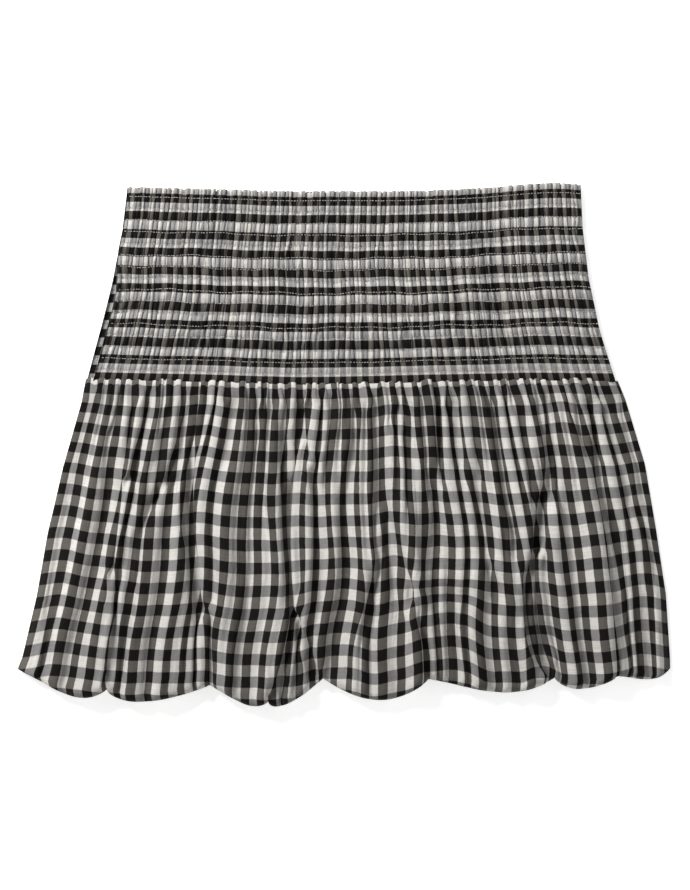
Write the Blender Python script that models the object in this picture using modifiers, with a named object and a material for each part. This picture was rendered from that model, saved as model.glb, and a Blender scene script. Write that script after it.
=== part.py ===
"""Balloon mini skirt laid flat on its back.

X runs across the skirt, +Y runs up it to the waist and +Z is away from the surface that it lies on.
The front and back each have a shirred yoke and a gathered balloon panel. Each balloon panel rolls
under at the hem and returns inside, where a narrow elasticated band holds both returns.
Sizes are in metres.
"""
import math
from collections import namedtuple

import bmesh
import bpy
import numpy as np

# Walls of cloth and the gaps between them.
YOKE_WALL = 0.0020        # shirred cloth stands thicker than the flat weave
SKIRT_WALL = 0.0012
SEAM_GAP = 0.0003
LAYER_GAP = 0.0004
LAYER_PITCH = SKIRT_WALL + LAYER_GAP

# Places along the length.
WAIST_Y = 0.1930
SEAM_Y = 0.0517           # yoke seam at the left edge
BAND_TOP_Y = -0.1215
BAND_WIDTH = 0.0120
BAND_BOTTOM_Y = BAND_TOP_Y - BAND_WIDTH
STACK_TOP_Y = -0.1030     # below here the returns inside part the side edges

# Outline of the laid skirt, a row for each section across it.
Section = namedtuple("Section", "y left right")
SECTIONS = tuple(Section(*row) for row in (
    (0.1930, -0.1628, 0.1778),
    (0.1620, -0.1665, 0.1793),
    (0.1260, -0.1740, 0.1838),
    (0.0900, -0.1830, 0.1920),
    (0.0510, -0.1938, 0.2045),
    (0.0330, -0.1973, 0.2118),
    (-0.0150, -0.2115, 0.2265),
    (-0.0630, -0.2228, 0.2348),
    (-0.1110, -0.2310, 0.2420),
    (-0.1590, -0.2418, 0.2450),
    (-0.1720, -0.2464, 0.2454),
))

# The frill's edge at the waist, and the seam between the yoke and the balloon panel.
Point = namedtuple("Point", "x y")
FRILL_EDGE = tuple(Point(*row) for row in (
    (-0.1628, 0.1925),
    (-0.1000, 0.1910),
    (-0.0500, 0.1893),
    (0.0450, 0.1893),
    (0.0950, 0.1910),
    (0.1350, 0.1943),
    (0.1620, 0.1960),
    (0.1778, 0.1948),
))
YOKE_SEAM = tuple(Point(*row) for row in (
    (-0.1940, SEAM_Y),
    (-0.0970, 0.0487),
    (-0.0330, 0.0460),
    (0.0200, 0.0472),
    (0.0720, 0.0487),
    (0.1400, 0.0502),
    (0.2040, 0.0495),
))

# Scalloped hems: each row is a notch and the lobe that hangs to its right by "drop".
# "peak" is where the lobe hangs lowest, as a share of the way to the next notch.
Notch = namedtuple("Notch", "x y drop peak")
FRONT_HEM = tuple(Notch(*row) for row in (
    (-0.2454, -0.1700, 0.0112, 0.64),
    (-0.1785, -0.1830, 0.0108, 0.34),
    (-0.1020, -0.1808, 0.0072, 0.66),
    (-0.0570, -0.1925, 0.0080, 0.34),
    (-0.0160, -0.1755, 0.0160, 0.54),
    (0.0635, -0.1760, 0.0108, 0.62),
    (0.1590, -0.1748, 0.0090, 0.42),
    (0.2060, -0.1745, 0.0034, 0.55),
    (0.2454, -0.1690, 0.0, 0.5),
))
BACK_HEM = tuple(Notch(*row) for row in (
    (-0.2454, -0.1690, 0.0085, 0.55),
    (-0.1780, -0.1775, 0.0085, 0.42),
    (-0.1020, -0.1750, 0.0115, 0.52),
    (-0.0160, -0.1705, 0.0125, 0.53),
    (0.0635, -0.1710, 0.0085, 0.55),
    (0.1590, -0.1695, 0.0070, 0.45),
    (0.2060, -0.1695, 0.0030, 0.50),
    (0.2454, -0.1680, 0.0, 0.5),
))

# Largest folds, a row for each valley: where it runs at the seam, half way down and at the hem,
# how deep it is at those places, and half its width.
Fold = namedtuple("Fold", "x_seam x_middle x_hem seam_depth middle_depth hem_depth half_width")
FRONT_FOLDS = tuple(Fold(*row) for row in (
    (-0.1900, -0.2050, -0.2130, 0.0010, 0.0020, 0.0020, 0.0120),
    (-0.1455, -0.1640, -0.1785, 0.0015, 0.0055, 0.0080, 0.0110),
    (-0.1190, -0.1050, -0.1020, 0.0030, 0.0070, 0.0075, 0.0120),
    (-0.0620, -0.0620, -0.0570, 0.0020, 0.0030, 0.0030, 0.0090),
    (-0.0480, -0.0370, -0.0160, 0.0025, 0.0055, 0.0090, 0.0120),
    (-0.0240, -0.0160, 0.0100, 0.0025, 0.0020, 0.0000, 0.0090),
    (0.0260, 0.0300, 0.0635, 0.0010, 0.0040, 0.0090, 0.0130),
    (0.0705, 0.0720, 0.0900, 0.0035, 0.0025, 0.0010, 0.0110),
    (0.1090, 0.1150, 0.1180, 0.0030, 0.0045, 0.0010, 0.0120),
    (0.1545, 0.1500, 0.1590, 0.0025, 0.0045, 0.0075, 0.0120),
    (0.1870, 0.1980, 0.2060, 0.0020, 0.0040, 0.0040, 0.0110),
))
BACK_FOLDS = tuple(Fold(*row) for row in (
    (-0.1500, -0.1700, -0.1560, 0.0008, 0.0012, 0.0006, 0.0120),
    (-0.0800, -0.0900, -0.0700, 0.0008, 0.0014, 0.0006, 0.0130),
    (0.0100, 0.0250, 0.0350, 0.0008, 0.0012, 0.0006, 0.0120),
    (0.0900, 0.1200, 0.1300, 0.0008, 0.0014, 0.0006, 0.0130),
    (0.1650, 0.1950, 0.2050, 0.0008, 0.0010, 0.0004, 0.0120),
))
BACK_CREASE_START = 0.0003      # a crease shallower than this lies flat on the surface

# Heights of the middle of each layer above the surface.
YOKE_BACK_Z = YOKE_WALL / 2
YOKE_FRONT_Z = YOKE_BACK_Z + YOKE_WALL + SEAM_GAP
BACK_Z = SKIRT_WALL / 2
BACK_RETURN_EDGE_Z = BACK_Z + LAYER_PITCH               # at the sides, where the layers are pressed
BACK_RETURN_RISE = 0.0018                               # more in the middle, where the hem is loose
FRONT_STACK_Z = BACK_RETURN_EDGE_Z + 2 * LAYER_PITCH    # front at the sides, over both returns
FRONT_SIDE_Z = BACK_Z + SKIRT_WALL + SEAM_GAP           # front at the side seam above the band
FRONT_LEAST_RISE = 0.0012                               # deepest valleys keep this over the back
SEAM_LEAN = 0.0002              # the puff's edge wall leans this far to the yoke as it starts to rise

# Fullness of the front: its crest over the side seam, and how far in from a side it rises.
PUFF_HEIGHT = 0.0145
EDGE_REACH = 0.0420
PUFF_PROFILE = ((0.0, 0.0), (0.10, 0.42), (0.30, 0.72), (0.60, 0.90), (0.85, 1.0), (1.0, 0.93))
VALLEY_ROUNDING = 0.0015
LOBE_ROUNDNESS = 0.8            # under 1 makes a lobe's bottom broader and its notches sharper

# Shirred yoke: a frill over the first of the elastic rows, and cloth bulging between them.
ELASTIC_ROWS = 17
FRILL_SHARE = 0.045
SHIRR_BULGE = 0.0006
BACK_PEEK = 0.0052              # back yoke showing past the front's left edge
PEEK_START_Y, PEEK_FULL_Y = 0.1500, 0.1100

RETURN_INSET = 0.0030           # the returns and the band lie this far inside the outline

# Grids that the walls are made from.
YOKE_FRONT_COLUMNS = 20
YOKE_BACK_COLUMNS, YOKE_BACK_ROWS = 22, 7
FRONT_COLUMNS, FRONT_ROWS = 72, 11
BACK_COLUMNS, BACK_ROWS = 34, 8
ROLL_ROWS, RETURN_ROWS = 4, 2
BAND_SEGMENTS = 48
BAND_TURN_SINE = 0.125          # past this sine of its angle the band lies in one of its two layers

COTTON_DARK = (0.16, 0.155, 0.15, 1.0)
COTTON_MID = (0.30, 0.295, 0.285, 1.0)
COTTON_PALE = (0.48, 0.47, 0.455, 1.0)
ELASTIC_WHITE = (0.70, 0.69, 0.66, 1.0)
COTTON_ROUGHNESS = 0.9


def smooth_step(low, high, value):
    """0 at low, 1 at high, and a smooth change between them."""
    share = min(max((value - low) / (high - low), 0.0), 1.0)
    return share * share * (3 - 2 * share)


def smooth_largest(first, second, blend):
    """The larger of two heights, rounded where they meet."""
    share = max(blend - abs(first - second), 0.0) / blend
    return max(first, second) + share * share * blend / 4


def follow(table, at):
    """The second column of a two-column table, at a place along its first."""
    places, values = zip(*table)
    return float(np.interp(at, places, values))


def outline(y):
    """Left and right edges of the laid skirt at y."""
    upward = SECTIONS[::-1]
    places = [section.y for section in upward]
    left = np.interp(y, places, [section.left for section in upward])
    right = np.interp(y, places, [section.right for section in upward])
    return float(left), float(right)


def spread(u, y, inset=0.0):
    """The place across the skirt at y that is a share u of the way over."""
    left, right = outline(y)
    return left + inset + (right - left - 2 * inset) * u


def inside(x, y):
    """0 at a side edge, rising to 1 at EDGE_REACH from it."""
    left, right = outline(y)
    reached = min(max(min(x - left, right - x), 0.0) / EDGE_REACH, 1.0)
    return math.sin(math.pi / 2 * reached)


def hem_y(notches, x):
    """Where a scalloped hem runs at x: rounded lobes between sharp notches."""
    for start, end in zip(notches, notches[1:]):
        if x <= end.x:
            break
    share = min(max((x - start.x) / (end.x - start.x), 0.0), 1.0)
    skewed = share ** (math.log(0.5) / math.log(start.peak))
    lobe = start.drop * math.sin(math.pi * skewed) ** LOBE_ROUNDNESS
    return start.y + (end.y - start.y) * share - lobe


def fold_depth(folds, x, share):
    """Total depth of the fold valleys at x, a share of the way from the seam to the hem."""
    depth = 0.0
    for fold in folds:
        run = (2 * (share - 0.5) * (share - 1) * fold.x_seam
               + 4 * share * (1 - share) * fold.x_middle
               + 2 * share * (share - 0.5) * fold.x_hem)
        deep = np.interp(share, (0.0, 0.5, 1.0), (fold.seam_depth, fold.middle_depth, fold.hem_depth))
        depth += float(deep) * math.exp(-((x - run) / fold.half_width) ** 2)
    return depth


def back_return_z(x):
    """Middle of the back's return, and of the band's back layer."""
    return BACK_RETURN_EDGE_Z + BACK_RETURN_RISE * inside(x, BAND_BOTTOM_Y)


def front_return_z(x):
    """Middle of the front's return, and of the band's front layer."""
    return back_return_z(x) + LAYER_PITCH


def front_z(x, y, share):
    """Middle of the front balloon panel, a share of the way from the yoke seam to the hem."""
    if share == 0:
        return YOKE_FRONT_Z
    stacked = smooth_step(STACK_TOP_Y, BAND_TOP_Y, y)
    at_seam = 1 - smooth_step(0.0, 0.12, share)
    side = FRONT_SIDE_Z + stacked * (FRONT_STACK_Z - FRONT_SIDE_Z) + at_seam * (YOKE_FRONT_Z - FRONT_SIDE_Z)
    over_returns = front_return_z(x) + LAYER_PITCH - side
    lowest = side + stacked * over_returns + (1 - stacked) * FRONT_LEAST_RISE * inside(x, y)
    crest = side + PUFF_HEIGHT * inside(x, y) * follow(PUFF_PROFILE, share)
    return smooth_largest(crest - fold_depth(FRONT_FOLDS, x, share), lowest, VALLEY_ROUNDING)


def back_z(x, y, share):
    """Middle of the back balloon panel, which lies on the surface except along its creases."""
    creased = fold_depth(BACK_FOLDS, x, share) * inside(x, y)
    at_seam = (YOKE_BACK_Z - BACK_Z) * (1 - smooth_step(0.0, 0.10, share))
    return BACK_Z + max(creased - BACK_CREASE_START, 0.0) + at_seam


def yoke_edges(u):
    """The yoke's top and bottom edges, a share u of the way over."""
    top = follow(FRILL_EDGE, spread(u, WAIST_Y))
    bottom = follow(YOKE_SEAM, spread(u, SEAM_Y)) + SEAM_GAP / 2
    return top, bottom


def yoke_back_place(u, v):
    """A point of the back yoke."""
    top, bottom = yoke_edges(u)
    y = top + (bottom - top) * v
    return spread(u, y), y, YOKE_BACK_Z


def yoke_front_place(u, v):
    """A point of the front yoke, which bulges between its elastic rows."""
    row = round(v * yoke_front_rows())
    share = 0.0
    if row > 0:
        share = FRILL_SHARE + (1 - FRILL_SHARE) * (row - 1) / (yoke_front_rows() - 1)
    top, bottom = yoke_edges(u)
    y = top + (bottom - top) * share
    bulge = SHIRR_BULGE if row > 0 and row % 2 == 0 else 0.0
    peek = BACK_PEEK * (1 - u) * smooth_step(PEEK_START_Y, PEEK_FULL_Y, y)
    return spread(u, y) + peek, y, YOKE_FRONT_Z + bulge


def yoke_front_rows():
    """Grid rows of the front yoke: the frill, and two for each channel between elastic rows."""
    return 1 + 2 * (ELASTIC_ROWS - 1)


def balloon_place(outer_rows, notches, outer_z, return_z):
    """Places on a balloon panel: down the outside, round the rolled hem and back to the band."""
    total_rows = outer_rows + ROLL_ROWS + RETURN_ROWS

    def place(u, v):
        row = round(v * total_rows)
        low_y = hem_y(notches, spread(u, notches[0].y))
        hem_x = spread(u, low_y)
        hem_z = outer_z(hem_x, low_y, 1.0)
        radius = (hem_z - return_z(hem_x)) / 2       # negative on the back, which rolls upward
        turn_y = low_y + abs(radius)
        if row <= outer_rows:
            share = row / outer_rows
            top_y = follow(YOKE_SEAM, spread(u, SEAM_Y)) - SEAM_GAP / 2 - SEAM_LEAN
            y = top_y + (turn_y - top_y) * share
            x = spread(u, y)
            return x, y, outer_z(x, y, share)
        if row <= outer_rows + ROLL_ROWS:
            turned = (row - outer_rows) / ROLL_ROWS
            y = turn_y - abs(radius) * math.sin(math.pi * turned)
            x = spread(u, y, RETURN_INSET * turned)
            return x, y, hem_z - radius * (1 - math.cos(math.pi * turned))
        share = (row - outer_rows - ROLL_ROWS) / RETURN_ROWS
        y = turn_y + (BAND_BOTTOM_Y - SEAM_GAP / 2 - turn_y) * share
        x = spread(u, y, RETURN_INSET)
        return x, y, return_z(x)

    return place, total_rows


def cotton(name, colour):
    """Matte cloth finish."""
    material = bpy.data.materials.new(name)
    material.use_nodes = True
    shader = material.node_tree.nodes["Principled BSDF"]
    shader.inputs["Base Color"].default_value = colour
    shader.inputs["Roughness"].default_value = COTTON_ROUGHNESS
    shader.inputs["Metallic"].default_value = 0.0
    return material


def grid_surface(columns, rows, place):
    """A grid of cloth with each point moved to its place."""
    surface = bmesh.new()
    bmesh.ops.create_grid(surface, x_segments=columns, y_segments=rows, size=0.5)
    for vertex in surface.verts:
        vertex.co = place(vertex.co.x + 0.5, 0.5 - vertex.co.y)
    return surface


def add_wall(name, surface, wall, material, collection):
    """Make an open surface into a closed wall of cloth."""
    mesh = bpy.data.meshes.new(name)
    surface.to_mesh(mesh)
    surface.free()
    mesh.shade_smooth()
    mesh.materials.append(material)
    piece = bpy.data.objects.new(name, mesh)
    collection.objects.link(piece)
    thicken = piece.modifiers.new("wall", "SOLIDIFY")
    thicken.thickness = wall
    thicken.offset = 0.0


def make_yoke(collection):
    """Shirred yoke panels, lying on each other."""
    front = grid_surface(YOKE_FRONT_COLUMNS, yoke_front_rows(), yoke_front_place)
    add_wall("yoke_front", front, YOKE_WALL, cotton("shirred_front", COTTON_MID), collection)
    back = grid_surface(YOKE_BACK_COLUMNS, YOKE_BACK_ROWS, yoke_back_place)
    add_wall("yoke_back", back, YOKE_WALL, cotton("shirred_back", COTTON_DARK), collection)


def make_balloon(collection):
    """Gathered balloon panels with their rolled hems."""
    place, rows = balloon_place(FRONT_ROWS, FRONT_HEM, front_z, front_return_z)
    front = grid_surface(FRONT_COLUMNS, rows, place)
    add_wall("skirt_front", front, SKIRT_WALL, cotton("balloon_front", COTTON_PALE), collection)
    place, rows = balloon_place(BACK_ROWS, BACK_HEM, back_z, back_return_z)
    back = grid_surface(BACK_COLUMNS, rows, place)
    add_wall("skirt_back", back, SKIRT_WALL, cotton("balloon_back", COTTON_MID), collection)


def make_band(collection):
    """Flattened ring of elasticated band between the returns' gathered edges."""
    ring = bmesh.new()
    bmesh.ops.create_circle(ring, segments=BAND_SEGMENTS, radius=1.0)
    extruded = bmesh.ops.extrude_edge_only(ring, edges=ring.edges[:])["geom"]
    upper = {item for item in extruded if isinstance(item, bmesh.types.BMVert)}
    for vertex in ring.verts:
        y = (BAND_TOP_Y if vertex in upper else BAND_BOTTOM_Y) + SEAM_GAP / 2
        x = spread(0.5 + vertex.co.x / 2, y, RETURN_INSET)
        side = min(max(vertex.co.y / BAND_TURN_SINE, -1.0), 1.0)
        middle_z = (back_return_z(x) + front_return_z(x)) / 2
        vertex.co = x, y, middle_z + side * LAYER_PITCH / 2
    add_wall("hem_band", ring, SKIRT_WALL, cotton("band_elastic", ELASTIC_WHITE), collection)


def main():
    for old in list(bpy.data.objects):
        bpy.data.objects.remove(old)
    collection = bpy.data.collections.new("balloon_skirt")
    bpy.context.scene.collection.children.link(collection)
    make_yoke(collection)
    make_balloon(collection)
    make_band(collection)


main()
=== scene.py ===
"""Gingham balloon mini skirt, laid flat on its back and seen from straight above.

X runs across the skirt, +Y up it to the waist and +Z away from the surface. Every panel is a grid of
cloth: its angle to the surface is worked out along each row, from the main creases, which are given
in tables, and from uneven gathers, whose strength is solved so that the cut width fills the outline.
Sizes are in metres.
"""
import math
from collections import namedtuple

import bpy
import numpy as np
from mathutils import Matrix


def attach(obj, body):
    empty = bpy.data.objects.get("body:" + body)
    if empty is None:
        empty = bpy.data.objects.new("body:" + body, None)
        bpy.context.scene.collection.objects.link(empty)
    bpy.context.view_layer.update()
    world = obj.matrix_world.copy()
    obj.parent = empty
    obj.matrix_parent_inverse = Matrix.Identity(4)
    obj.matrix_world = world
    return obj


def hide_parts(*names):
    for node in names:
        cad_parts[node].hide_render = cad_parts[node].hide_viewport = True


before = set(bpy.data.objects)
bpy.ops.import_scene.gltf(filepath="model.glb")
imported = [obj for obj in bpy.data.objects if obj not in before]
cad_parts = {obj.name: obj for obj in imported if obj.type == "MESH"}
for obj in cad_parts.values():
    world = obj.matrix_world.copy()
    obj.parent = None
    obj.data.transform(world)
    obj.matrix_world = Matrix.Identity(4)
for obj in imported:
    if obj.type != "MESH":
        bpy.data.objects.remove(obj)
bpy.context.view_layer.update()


def named_rows(kind, *table):
    """A table's rows with their columns named."""
    return tuple(kind(*row) for row in table)


# The gingham's check is longer along the warp. The yoke is cut across the grain of the puff.
SHORT_REPEAT = 0.0146           # one dark and one pale stripe
LONG_REPEAT = 0.01725
REPEATS_ACROSS = 46.4
PUFF_WIDTH = REPEATS_ACROSS * SHORT_REPEAT
YOKE_WIDTH = REPEATS_ACROSS * LONG_REPEAT
FIRST_COLUMN = 0.20             # middle of the first dark column, in repeats from the side seam
PUFF_FIRST_ROW = 0.50           # middle of the puff's first dark row, in repeats below the yoke seam
YOKE_FIRST_ROW = 0.54           # and of the yoke's, below its top edge
YOKE_LENGTH = 0.1575            # of the yoke's cloth, from the frill's edge to the seam
SHELL = 0.0005                  # thickness of the cloth

# Places along the length, as in the frame.
WAIST_Y = 0.1930
SEAM_Y = 0.0517
BAND_TOP_Y = -0.1215
BAND_BOTTOM_Y = -0.1335
STACK_TOP_Y = -0.1030
LIFT_TOP_Y = 0.0200             # from here down the layers inside the hem lift the front's crests

# Outline of the laid skirt, a row for each section across it.
Section = namedtuple("Section", "y left right")
SECTIONS = named_rows(Section,
    (0.1930, -0.1628, 0.1778),
    (0.1620, -0.1665, 0.1793),
    (0.1260, -0.1740, 0.1838),
    (0.0900, -0.1830, 0.1920),
    (0.0510, -0.1938, 0.2045),
    (0.0330, -0.1973, 0.2118),
    (-0.0150, -0.2115, 0.2265),
    (-0.0630, -0.2228, 0.2348),
    (-0.1110, -0.2310, 0.2420),
    (-0.1590, -0.2418, 0.2450),
    (-0.1720, -0.2464, 0.2454),
)

# The frill's edge at the waist, and the seam between the yoke and the puff.
FRILL_EDGE = (
    (-0.1628, 0.1925), (-0.1000, 0.1910), (-0.0500, 0.1893), (0.0450, 0.1893),
    (0.0950, 0.1910), (0.1350, 0.1943), (0.1620, 0.1960), (0.1778, 0.1948),
)
YOKE_SEAM = (
    (-0.1940, 0.0490), (-0.0970, 0.0470), (-0.0330, 0.0450), (0.0200, 0.0460),
    (0.0720, 0.0472), (0.1400, 0.0484), (0.2040, 0.0478),
)
EDGE_SOFTNESS = 0.0130          # these two edges have their tables' corners rounded by this much

# Scalloped hems: a row is a notch and the lobe that hangs to its right by "drop".
Notch = namedtuple("Notch", "x y drop peak")
FRONT_HEM = named_rows(Notch,
    (-0.2454, -0.1700, 0.0112, 0.64),
    (-0.1785, -0.1830, 0.0108, 0.34),
    (-0.1020, -0.1808, 0.0072, 0.66),
    (-0.0570, -0.1925, 0.0080, 0.34),
    (-0.0160, -0.1755, 0.0160, 0.54),
    (0.0635, -0.1760, 0.0108, 0.62),
    (0.1590, -0.1748, 0.0090, 0.42),
    (0.2060, -0.1740, 0.0054, 0.66),
    (0.2454, -0.1695, 0.0, 0.5),
)
BACK_HEM = named_rows(Notch,
    (-0.2454, -0.1690, 0.0085, 0.55),
    (-0.1780, -0.1775, 0.0085, 0.42),
    (-0.1020, -0.1750, 0.0115, 0.52),
    (-0.0160, -0.1705, 0.0125, 0.53),
    (0.0635, -0.1710, 0.0085, 0.55),
    (0.1590, -0.1695, 0.0070, 0.45),
    (0.2060, -0.1695, 0.0030, 0.50),
    (0.2454, -0.1680, 0.0, 0.5),
)

# Main creases of the front. Each has the half width of its valley in the cloth, how far it leans over
# to a side, and its path down the puff: x, y and how steeply the cloth bends into it, in radians.
Crease = namedtuple("Crease", "half_width lean path")
FRONT_CREASES = named_rows(Crease,
    # Twin narrow pleats on the left; the first runs to a notch.
    (0.0034, -0.35, (
        (-0.1447, 0.0480, 0.7), (-0.1470, 0.0255, 1.1), (-0.1537, 0.0022, 1.3), (-0.1598, -0.0270, 1.3),
        (-0.1665, -0.0600, 1.3), (-0.1703, -0.0945, 1.2), (-0.1703, -0.1320, 1.1), (-0.1735, -0.1845, 1.4))),
    (0.0030, -0.35, (
        (-0.1403, 0.0480, 0.5), (-0.1432, 0.0255, 0.9), (-0.1485, 0.0022, 1.1), (-0.1545, -0.0270, 1.2),
        (-0.1613, -0.0600, 1.1), (-0.1650, -0.0970, 0.0))),
    # Long slanting fold beside them.
    (0.0040, 0.30, (
        (-0.1185, 0.0330, 0.3), (-0.1222, 0.0030, 1.1), (-0.1290, -0.0232, 1.3), (-0.1440, -0.0480, 1.0),
        (-0.1537, -0.0723, 0.9), (-0.1613, -0.1100, 0.0))),
    # Widest valley, with a small ridge along its left bank.
    (0.0078, 0.20, (
        (-0.1150, 0.0480, 0.8), (-0.1150, 0.0127, 1.3), (-0.1105, -0.0248, 1.4), (-0.1060, -0.0600, 1.4),
        (-0.1035, -0.0892, 1.3), (-0.1050, -0.1170, 1.2), (-0.1027, -0.1545, 1.2), (-0.1020, -0.1830, 1.4))),
    (0.0030, 0.20, (
        (-0.1210, -0.0100, 0.0), (-0.1195, -0.0300, 0.9), (-0.1150, -0.0600, 1.0), (-0.1120, -0.0800, 0.0))),
    (0.0036, 0.30, (
        (-0.0698, 0.0442, 0.6), (-0.0653, 0.0217, 1.1), (-0.0630, -0.0008, 1.1), (-0.0622, -0.0420, 0.9),
        (-0.0622, -0.0820, 0.0))),
    # Deep fold left of the middle, which forks at the hem.
    (0.0064, 0.35, (
        (-0.0510, 0.0367, 0.5), (-0.0450, -0.0008, 1.0), (-0.0390, -0.0270, 1.1), (-0.0367, -0.0645, 1.2),
        (-0.0345, -0.0983, 1.4), (-0.0330, -0.1245, 1.4), (-0.0270, -0.1583, 1.2), (-0.0165, -0.1785, 1.4))),
    (0.0040, -0.30, (
        (-0.0338, -0.1100, 0.0), (-0.0390, -0.1507, 1.0), (-0.0500, -0.1770, 1.3), (-0.0570, -0.1943, 1.5))),
    (0.0036, 0.30, (
        (-0.0315, 0.0457, 0.8), (-0.0300, 0.0097, 1.1), (-0.0248, -0.0158, 1.1), (-0.0195, -0.0420, 0.9),
        (-0.0165, -0.0820, 0.0))),
    # Gathers that fade out down the middle.
    (0.0034, 0.25, (
        (0.0045, 0.0457, 0.8), (0.0067, 0.0255, 1.0), (0.0090, 0.0030, 0.7), (0.0120, -0.0370, 0.0))),
    (0.0036, -0.20, (
        (0.0225, 0.0457, 0.8), (0.0217, 0.0210, 1.1), (0.0240, -0.0045, 1.0), (0.0255, -0.0420, 0.8),
        (0.0270, -0.0700, 0.0))),
    (0.0034, 0.20, (
        (0.0480, 0.0457, 0.8), (0.0488, 0.0097, 1.0), (0.0495, -0.0270, 0.8), (0.0480, -0.0600, 0.0))),
    (0.0048, -0.20, (
        (0.0705, 0.0480, 1.0), (0.0712, 0.0105, 1.4), (0.0698, -0.0195, 1.3), (0.0705, -0.0570, 1.0),
        (0.0690, -0.0870, 0.0))),
    (0.0036, 0.25, (
        (0.0833, 0.0465, 0.8), (0.0848, 0.0173, 1.1), (0.0885, -0.0158, 1.0), (0.0945, -0.0495, 0.0))),
    # Pair of slanting folds right of the middle.
    (0.0042, 0.35, (
        (0.1072, 0.0465, 0.8), (0.1140, 0.0248, 1.2), (0.1177, -0.0135, 1.2), (0.1222, -0.0495, 1.1),
        (0.1260, -0.0900, 0.0))),
    (0.0044, 0.35, (
        (0.0945, -0.0020, 0.0), (0.1020, -0.0420, 1.0), (0.1050, -0.0720, 1.2), (0.1095, -0.0945, 1.2),
        (0.1163, -0.1250, 0.3))),
    # Deep fold that bends like an S and ends in a notch.
    (0.0068, -0.25, (
        (0.1552, 0.0480, 0.8), (0.1537, 0.0135, 1.0), (0.1545, -0.0210, 1.1), (0.1480, -0.0495, 1.3),
        (0.1455, -0.0870, 1.4), (0.1425, -0.1207, 1.4), (0.1440, -0.1447, 1.2), (0.1530, -0.1680, 1.3),
        (0.1590, -0.1770, 1.5))),
    (0.0034, 0.25, (
        (0.1628, 0.0480, 0.8), (0.1688, 0.0338, 1.0), (0.1762, 0.0143, 1.0), (0.1830, -0.0195, 0.0))),
    (0.0044, -0.25, (
        (0.1875, 0.0442, 0.9), (0.1875, 0.0127, 1.3), (0.1905, -0.0195, 1.2), (0.1935, -0.0457, 1.2),
        (0.1973, -0.0833, 1.1), (0.2025, -0.1170, 1.1), (0.2062, -0.1470, 0.8), (0.2060, -0.1745, 1.0))),
    (0.0036, 0.30, (
        (0.2100, 0.0200, 0.3), (0.2145, -0.0345, 0.9), (0.2258, -0.0645, 1.0), (0.2347, -0.0945, 1.0),
        (0.2400, -0.1345, 0.0))),
    # Lobe that springs from a point below the middle, between two folds.
    (0.0060, 0.40, (
        (0.0345, -0.0600, 0.0), (0.0457, -0.0983, 1.2), (0.0563, -0.1237, 1.4), (0.0625, -0.1470, 1.1),
        (0.0635, -0.1770, 1.4))),
    (0.0044, -0.40, (
        (0.0338, -0.0600, 0.0), (0.0232, -0.0983, 1.2), (0.0165, -0.1245, 1.2), (0.0090, -0.1645, 0.0))),
    (0.0036, 0.20, (
        (0.0780, -0.1070, 0.0), (0.0820, -0.1300, 1.0), (0.0850, -0.1545, 0.9), (0.0870, -0.1770, 0.6))),
    # Soft creases by the left side.
    (0.0036, -0.15, (
        (-0.1890, 0.0330, 0.6), (-0.1935, -0.0045, 0.8), (-0.1995, -0.0420, 0.6), (-0.2055, -0.0757, 0.0))),
    (0.0040, 0.15, (
        (-0.2115, -0.0870, 0.0), (-0.2190, -0.1170, 0.7), (-0.2220, -0.1470, 0.7), (-0.2235, -0.1770, 0.5))),
)
BACK_CREASES = named_rows(Crease,
    (0.0050, 0.30, (
        (-0.1500, 0.0480, 0.7), (-0.1600, -0.0100, 1.1), (-0.1700, -0.0700, 1.0), (-0.1780, -0.1770, 1.2))),
    (0.0046, -0.30, (
        (-0.0800, 0.0480, 0.8), (-0.0860, -0.0200, 1.1), (-0.0950, -0.1000, 1.0), (-0.1020, -0.1750, 1.2))),
    (0.0050, 0.25, (
        (-0.0100, 0.0460, 0.7), (0.0020, -0.0300, 1.2), (-0.0080, -0.1100, 1.0), (-0.0160, -0.1705, 1.3))),
    (0.0046, -0.25, (
        (0.0900, 0.0480, 0.8), (0.0820, -0.0300, 1.1), (0.0700, -0.1100, 1.0), (0.0635, -0.1710, 1.2))),
    (0.0050, 0.30, (
        (0.1500, 0.0490, 0.7), (0.1580, -0.0300, 1.1), (0.1600, -0.1100, 1.0), (0.1590, -0.1695, 1.2))),
    (0.0040, 0.20, (
        (0.1900, 0.0480, 0.6), (0.2000, -0.0300, 0.9), (0.2050, -0.1000, 0.8), (0.2060, -0.1695, 0.9))),
)

# How much of its table's bend a crease has, a share of the way down the puff.
CREASE_DEPTHS = ((0.0, 0.84), (0.10, 0.84), (0.20, 1.00), (0.36, 1.16), (0.75, 1.18), (0.88, 0.98),
                 (1.0, 0.88))
CREASE_BREADTH = 1.12           # and of its table's half width
STEEPEST_BEND = 2.0

# Places where the cloth lies flatter than around them, or is gathered closer where the share is below
# 0: half width, half height and by how much.
Ease = namedtuple("Ease", "x y reach_x reach_y share")
FRONT_EASES = named_rows(Ease,
    (0.0380, -0.1420, 0.0200, 0.0420, 0.30),
    (-0.0700, -0.1100, 0.0220, 0.0700, 0.12),
    (-0.1280, -0.0600, 0.0120, 0.0900, 0.15),
    (-0.2050, -0.0600, 0.0240, 0.0900, 0.10),
    (0.1230, -0.1250, 0.0120, 0.0500, 0.20),
    (0.0100, -0.0450, 0.0550, 0.0500, -0.12),
    (-0.2000, -0.1850, 0.0550, 0.0500, 0.14),
    (0.2150, -0.1850, 0.0350, 0.0500, -0.20),
)

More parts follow.
